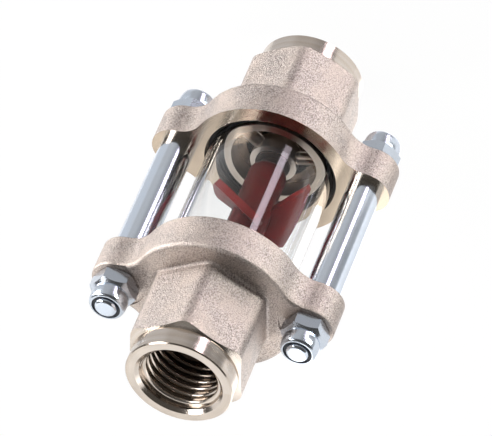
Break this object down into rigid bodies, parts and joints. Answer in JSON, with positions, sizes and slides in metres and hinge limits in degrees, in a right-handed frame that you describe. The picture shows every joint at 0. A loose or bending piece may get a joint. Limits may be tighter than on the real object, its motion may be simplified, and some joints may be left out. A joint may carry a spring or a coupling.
{
  "type": "impeller flow indicator",
  "caption": "In-line flow indicator: glass tube clamped between two hexagonal threaded fittings by tie rods, with a red rotor that spins when liquid flows.",
  "frame": {"origin": "on the flow axis at the outlet fitting's mouth face, on which the part stands", "axes": "+Z along the flow axis from the outlet up to the inlet, X through the two ears and tie rods, Y across"},
  "size_m": [0.042, 0.0286, 0.0738],
  "materials": {
    "cast_plated": "sand-cast body with a matt pale plating, turned faces bright",
    "turned_plated": "bright pale plating",
    "clear_glass": "polished",
    "seal_rubber": "matt",
    "bush_plastic": "smooth",
    "red_plastic": "moulded, glossy",
    "axle_steel": "ground",
    "zinc_steel": "bright zinc plated",
    "insert_plastic": "smooth"
  },
  "bodies": {
    "housing": {"inlet_fitting": "cast_plated", "outlet_fitting": "cast_plated", "sight_glass": "clear_glass", "inlet_glass_seal": "seal_rubber", "outlet_glass_seal": "seal_rubber", "inlet_bearing_spider": "turned_plated", "outlet_bearing_spider": "turned_plated", "inlet_bearing_bush": "bush_plastic", "outlet_bearing_bush": "bush_plastic", "left_tie_rod": "zinc_steel", "right_tie_rod": "zinc_steel", "inlet_left_nut": "zinc_steel", "inlet_left_insert": "insert_plastic", "inlet_right_nut": "zinc_steel", "inlet_right_insert": "insert_plastic", "outlet_left_nut": "zinc_steel", "outlet_left_insert": "insert_plastic", "outlet_right_nut": "zinc_steel", "outlet_right_insert": "insert_plastic"},
    "rotor": {"impeller": "red_plastic", "impeller_axle": "axle_steel"}
  },
  "joints": [
    {"name": "impeller_spin", "type": "hinge", "parent": "housing", "child": "rotor", "pos_m": [0, 0, 0.0369], "axis": [0, 0, 1], "continuous": true}
  ]
}
